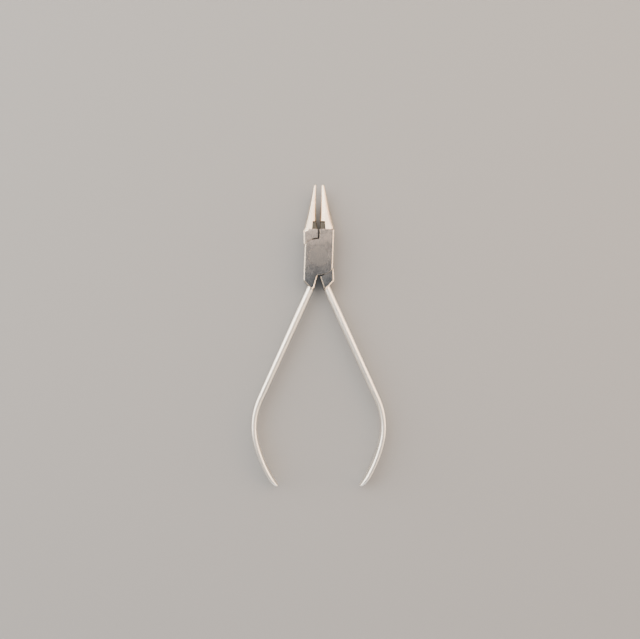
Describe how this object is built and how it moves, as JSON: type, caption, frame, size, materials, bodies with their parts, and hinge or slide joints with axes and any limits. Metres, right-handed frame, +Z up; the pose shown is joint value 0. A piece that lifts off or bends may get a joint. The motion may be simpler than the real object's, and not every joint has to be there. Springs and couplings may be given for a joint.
{
  "type": "round nose pliers",
  "caption": "Slim lap-joint round nose pliers that bend wire round their tapered jaws, with a small cutter at the base of the jaws and bare bowed handles.",
  "frame": {"origin": "on the rivet's axis, in the plane of the head's back face, on which the pliers lie", "axes": "+Y towards the jaw tips, +X to the right, +Z up out of the front face, along the rivet"},
  "size_m": [0.0574, 0.1296, 0.009],
  "materials": {
    "satin_steel_front": "satin ground head, polished jaws and handles",
    "satin_steel_rear": "satin ground head, polished jaws and handles",
    "rivet_steel": "ground flush with the head",
    "carbide": "dark fine-ground carbide"
  },
  "bodies": {
    "rear_half_body": {"rear_half": "satin_steel_rear", "pivot_rivet": "rivet_steel", "cutter_insert_left": "carbide"},
    "front_half_body": {"front_half": "satin_steel_front", "cutter_insert_right": "carbide"}
  },
  "joints": [
    {"name": "jaw_hinge", "type": "hinge", "parent": "rear_half_body", "child": "front_half_body", "pos_m": [0, 0, 0.0045], "axis": [0, 0, -1], "range_deg": [-4, 75]}
  ]
}
